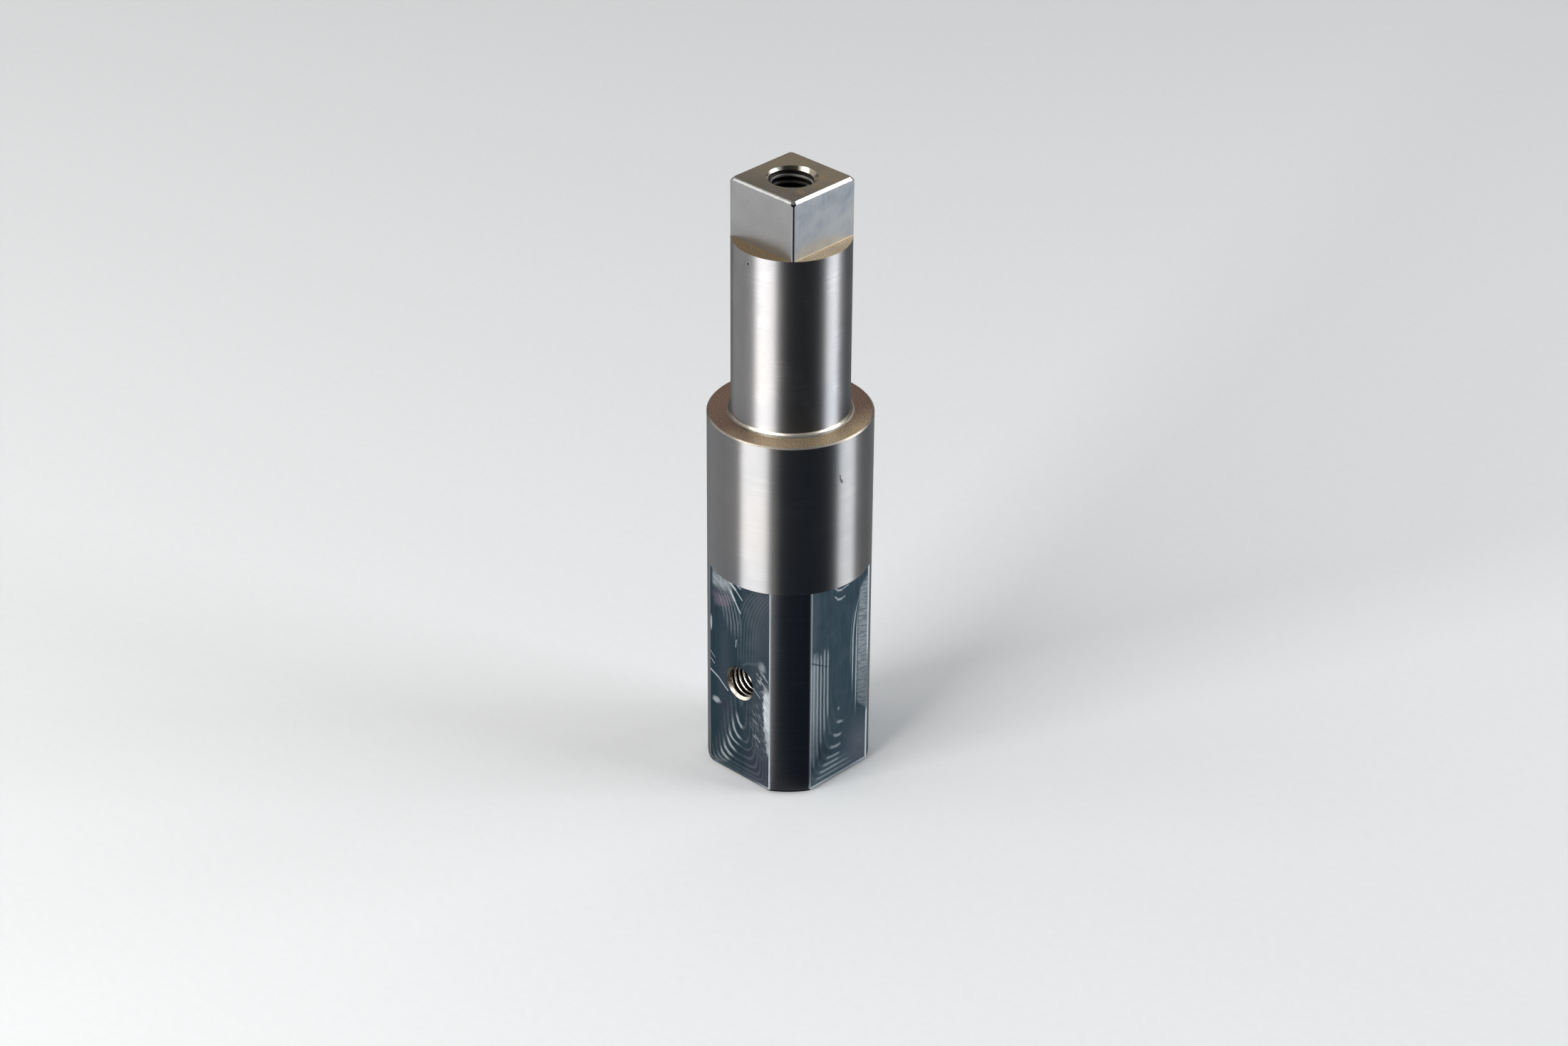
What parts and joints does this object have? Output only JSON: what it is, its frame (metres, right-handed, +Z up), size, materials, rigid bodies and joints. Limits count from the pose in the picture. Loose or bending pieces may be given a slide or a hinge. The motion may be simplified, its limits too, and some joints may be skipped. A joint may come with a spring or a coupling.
{
  "type": "stepped shaft",
  "caption": "Turned steel shaft with a milled square foot tapped across, a round body, a shouldered journal and a square head tapped in its end.",
  "frame": {"origin": "centre of the bottom end face, on which the shaft stands", "axes": "+Z up the shaft's axis towards the square head; the flats face along X and Y, and the side hole opens towards -Y"},
  "size_m": [0.035, 0.035, 0.138],
  "materials": {
    "steel": "turned and milled, bare"
  },
  "bodies": {
    "root": {"stepped_shaft": "steel"}
  },
  "joints": []
}
